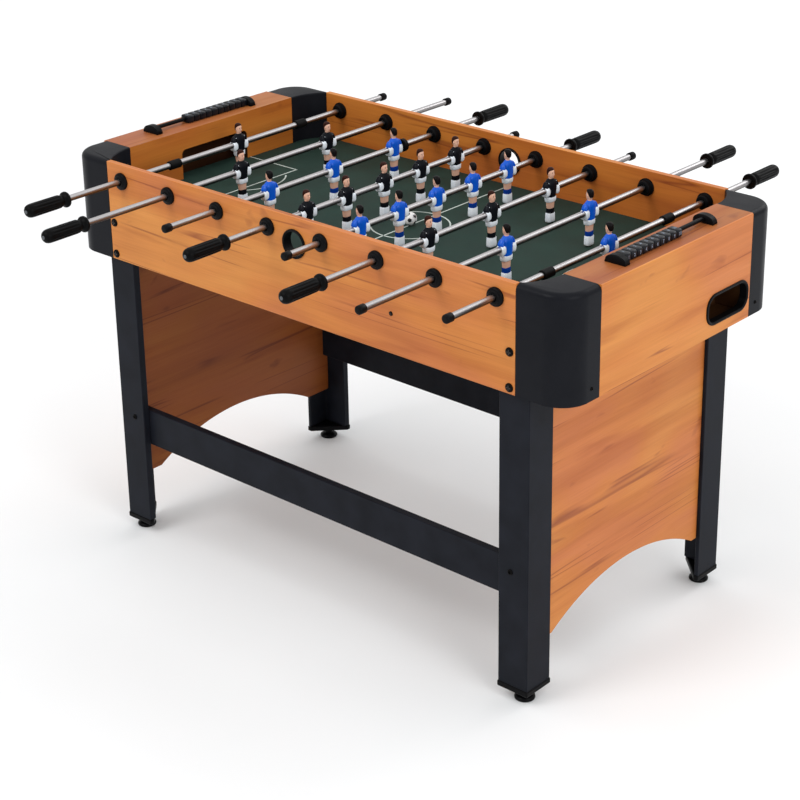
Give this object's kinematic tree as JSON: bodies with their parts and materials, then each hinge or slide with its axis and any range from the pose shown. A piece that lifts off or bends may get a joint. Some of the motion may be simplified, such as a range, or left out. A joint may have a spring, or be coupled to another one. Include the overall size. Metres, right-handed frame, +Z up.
{
  "type": "foosball table",
  "caption": "Free-standing table football cabinet on legs, with sliding and spinning rods of player figures, bead scorers and a ball.",
  "frame": {"origin": "on the floor, under the middle of the cabinet", "axes": "+X along the table from the black goalkeeper to the blue one, +Y along the rods away from the black handles, +Z up"},
  "size_m": [1.22, 1.197, 0.814],
  "materials": {
    "wood_board": "wood-effect laminate, satin",
    "black_board": "black laminate, satin",
    "black_plastic": "moulded plastic, fine satin texture",
    "field_board": "dark green matt surface with thin white lines",
    "chrome": "bright polished",
    "grip": "fluted, soft satin",
    "bead": "glossy",
    "figure_black": "painted plastic with white, skin and black parts",
    "figure_blue": "painted plastic with white, skin and blue parts",
    "ball": "glossy white with black patches"
  },
  "bodies": {
    "cabinet": {"side_board_front": "wood_board", "side_board_back": "wood_board", "end_box_left": "wood_board", "end_box_right": "wood_board", "corner_cap_front_left": "black_plastic", "corner_cap_front_right": "black_plastic", "corner_cap_back_left": "black_plastic", "corner_cap_back_right": "black_plastic", "playfield": "field_board", "leg_front_left": "black_board", "leg_front_right": "black_board", "stretcher_front": "black_board", "leg_back_left": "black_board", "leg_back_right": "black_board", "stretcher_back": "black_board", "end_panel_left": "wood_board", "end_panel_right": "wood_board", "scorer_rail_left": "black_plastic", "scorer_rail_right": "black_plastic"},
    "rod_black_goalie": {"shaft_black_goalie": "chrome"},
    "team_black_goalie": {"handle_black_goalie": "grip", "player_black_goalie_1": "figure_black"},
    "rod_black_defender": {"shaft_black_defender": "chrome"},
    "team_black_defender": {"handle_black_defender": "grip", "player_black_defender_1": "figure_black", "player_black_defender_2": "figure_black"},
    "rod_blue_attacker": {"shaft_blue_attacker": "chrome"},
    "team_blue_attacker": {"handle_blue_attacker": "grip", "player_blue_attacker_1": "figure_blue", "player_blue_attacker_2": "figure_blue", "player_blue_attacker_3": "figure_blue"},
    "rod_black_midfielder": {"shaft_black_midfielder": "chrome"},
    "team_black_midfielder": {"handle_black_midfielder": "grip", "player_black_midfielder_1": "figure_black", "player_black_midfielder_2": "figure_black", "player_black_midfielder_3": "figure_black", "player_black_midfielder_4": "figure_black", "player_black_midfielder_5": "figure_black"},
    "rod_blue_midfielder": {"shaft_blue_midfielder": "chrome"},
    "team_blue_midfielder": {"handle_blue_midfielder": "grip", "player_blue_midfielder_1": "figure_blue", "player_blue_midfielder_2": "figure_blue", "player_blue_midfielder_3": "figure_blue", "player_blue_midfielder_4": "figure_blue", "player_blue_midfielder_5": "figure_blue"},
    "rod_black_attacker": {"shaft_black_attacker": "chrome"},
    "team_black_attacker": {"handle_black_attacker": "grip", "player_black_attacker_1": "figure_black", "player_black_attacker_2": "figure_black", "player_black_attacker_3": "figure_black"},
    "rod_blue_defender": {"shaft_blue_defender": "chrome"},
    "team_blue_defender": {"handle_blue_defender": "grip", "player_blue_defender_1": "figure_blue", "player_blue_defender_2": "figure_blue"},
    "rod_blue_goalie": {"shaft_blue_goalie": "chrome"},
    "team_blue_goalie": {"handle_blue_goalie": "grip", "player_blue_goalie_1": "figure_blue"},
    "beads_left": {"scorer_beads_left": "bead"},
    "beads_right": {"scorer_beads_right": "bead"},
    "ball": {"ball": "ball"}
  },
  "joints": [
    {"name": "slide_black_goalie", "type": "slide", "parent": "cabinet", "child": "rod_black_goalie", "axis": [0, 1, 0], "range_m": [-0.094, 0.094]},
    {"name": "spin_black_goalie", "type": "hinge", "parent": "rod_black_goalie", "child": "team_black_goalie", "pos_m": [-0.4606, 0, 0.766], "axis": [0, 1, 0], "continuous": true},
    {"name": "slide_black_defender", "type": "slide", "parent": "cabinet", "child": "rod_black_defender", "axis": [0, 1, 0], "range_m": [-0.144, 0.144]},
    {"name": "spin_black_defender", "type": "hinge", "parent": "rod_black_defender", "child": "team_black_defender", "pos_m": [-0.329, 0, 0.766], "axis": [0, 1, 0], "continuous": true},
    {"name": "slide_blue_attacker", "type": "slide", "parent": "cabinet", "child": "rod_blue_attacker", "axis": [0, 1, 0], "range_m": [-0.09, 0.077]},
    {"name": "spin_blue_attacker", "type": "hinge", "parent": "rod_blue_attacker", "child": "team_blue_attacker", "pos_m": [-0.1974, 0, 0.766], "axis": [0, 1, 0], "continuous": true},
    {"name": "slide_black_midfielder", "type": "slide", "parent": "cabinet", "child": "rod_black_midfielder", "axis": [0, 1, 0], "range_m": [-0.055, 0.055]},
    {"name": "spin_black_midfielder", "type": "hinge", "parent": "rod_black_midfielder", "child": "team_black_midfielder", "pos_m": [-0.0658, 0, 0.766], "axis": [0, 1, 0], "continuous": true},
    {"name": "slide_blue_midfielder", "type": "slide", "parent": "cabinet", "child": "rod_blue_midfielder", "axis": [0, 1, 0], "range_m": [-0.055, 0.055]},
    {"name": "spin_blue_midfielder", "type": "hinge", "parent": "rod_blue_midfielder", "child": "team_blue_midfielder", "pos_m": [0.0658, 0, 0.766], "axis": [0, 1, 0], "continuous": true},
    {"name": "slide_black_attacker", "type": "slide", "parent": "cabinet", "child": "rod_black_attacker", "axis": [0, 1, 0], "range_m": [-0.09, 0.09]},
    {"name": "spin_black_attacker", "type": "hinge", "parent": "rod_black_attacker", "child": "team_black_attacker", "pos_m": [0.1974, 0, 0.766], "axis": [0, 1, 0], "continuous": true},
    {"name": "slide_blue_defender", "type": "slide", "parent": "cabinet", "child": "rod_blue_defender", "axis": [0, 1, 0], "range_m": [-0.144, 0.144]},
    {"name": "spin_blue_defender", "type": "hinge", "parent": "rod_blue_defender", "child": "team_blue_defender", "pos_m": [0.329, 0, 0.766], "axis": [0, 1, 0], "continuous": true},
    {"name": "slide_blue_goalie", "type": "slide", "parent": "cabinet", "child": "rod_blue_goalie", "axis": [0, 1, 0], "range_m": [-0.094, 0.094]},
    {"name": "spin_blue_goalie", "type": "hinge", "parent": "rod_blue_goalie", "child": "team_blue_goalie", "pos_m": [0.4606, 0, 0.766], "axis": [0, 1, 0], "continuous": true},
    {"name": "score_left", "type": "slide", "parent": "cabinet", "child": "beads_left", "axis": [0, -1, 0], "range_m": [0, 0.078]},
    {"name": "score_right", "type": "slide", "parent": "cabinet", "child": "beads_right", "axis": [0, 1, 0], "range_m": [0, 0.078]},
    {"name": "ball_roll", "type": "slide", "parent": "cabinet", "child": "ball", "axis": [0, 1, 0], "range_m": [-0.27, 0.28]}
  ]
}
